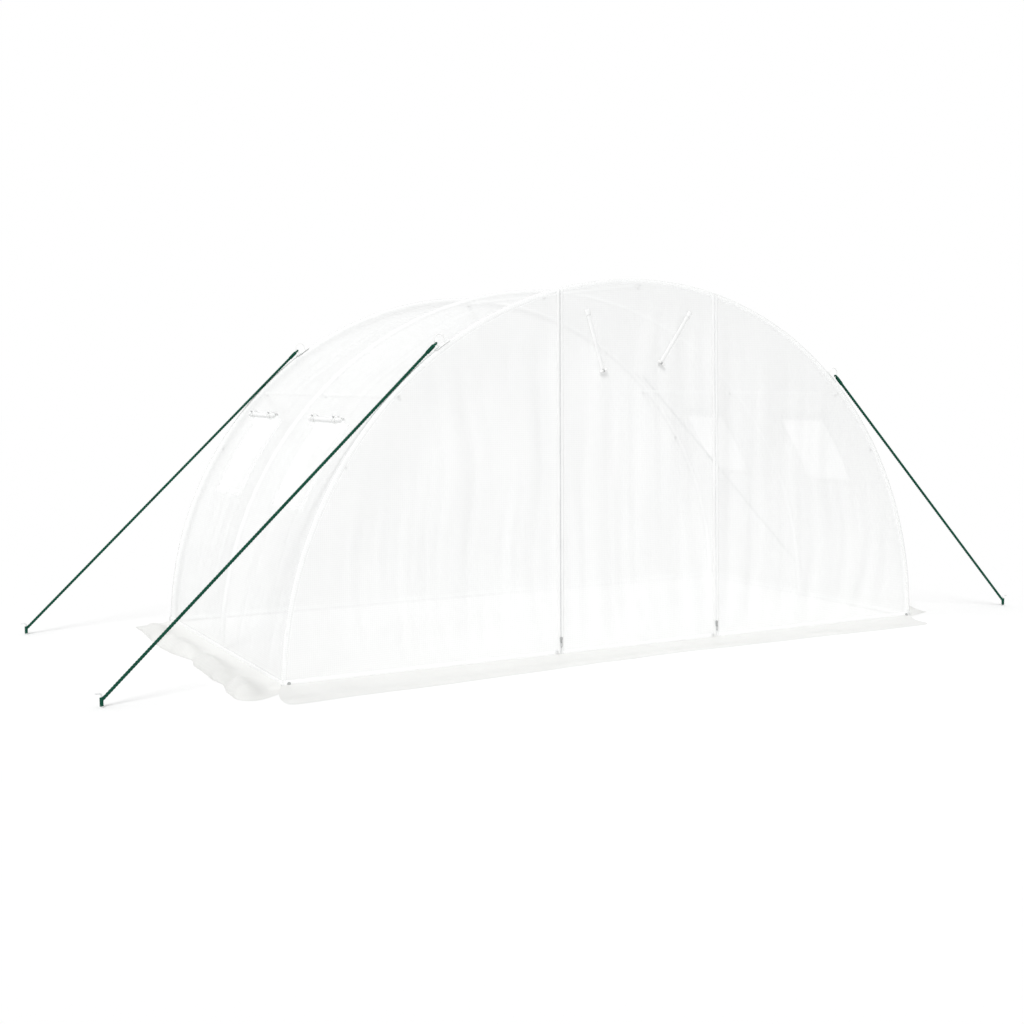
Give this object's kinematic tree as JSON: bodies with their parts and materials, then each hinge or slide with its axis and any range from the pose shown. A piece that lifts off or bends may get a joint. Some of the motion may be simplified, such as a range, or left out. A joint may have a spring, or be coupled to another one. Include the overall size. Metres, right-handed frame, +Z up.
{
  "type": "polytunnel greenhouse",
  "caption": "Half-round polytunnel greenhouse: tube hoops under a translucent film cover, with a zipped door, net windows, ground skirts and guy ropes.",
  "frame": {"origin": "on the ground, in the middle of the tunnel", "axes": "+X across the span to the right as seen from the door end, +Y from the door end to the rear end, +Z up"},
  "size_m": [5.716, 2.7052, 1.9723],
  "materials": {
    "frame_steel": "smooth white powder coat",
    "film": "translucent reinforced film",
    "net": "fine white mesh",
    "trim": "white webbing and zip tape",
    "rope": "dark green laid rope",
    "peg_steel": "zinc-plated rod"
  },
  "bodies": {
    "root": {"front_hoop": "frame_steel", "middle_hoop": "frame_steel", "rear_hoop": "frame_steel", "ridge_purlin": "frame_steel", "left_purlin": "frame_steel", "right_purlin": "frame_steel", "left_rail": "frame_steel", "right_rail": "frame_steel", "front_rail": "frame_steel", "rear_rail": "frame_steel", "front_left_wall": "film", "front_roof": "film", "front_right_wall": "film", "rear_left_wall": "film", "rear_roof": "film", "rear_right_wall": "film", "front_left_net": "net", "front_right_net": "net", "rear_left_net": "net", "rear_right_net": "net", "front_left_flap": "film", "front_right_flap": "film", "rear_left_flap": "film", "rear_right_flap": "film", "front_gable_left": "film", "front_gable_right": "film", "door_panel": "film", "rear_gable": "film", "left_zip": "trim", "right_zip": "trim", "left_door_tie": "trim", "right_door_tie": "trim", "front_skirt": "film", "rear_skirt": "film", "left_skirt": "film", "right_skirt": "film", "rope_tabs": "trim", "front_left_rope": "rope", "front_right_rope": "rope", "rear_left_rope": "rope", "rear_right_rope": "rope", "front_left_peg": "peg_steel", "front_right_peg": "peg_steel", "rear_left_peg": "peg_steel", "rear_right_peg": "peg_steel"}
  },
  "joints": []
}
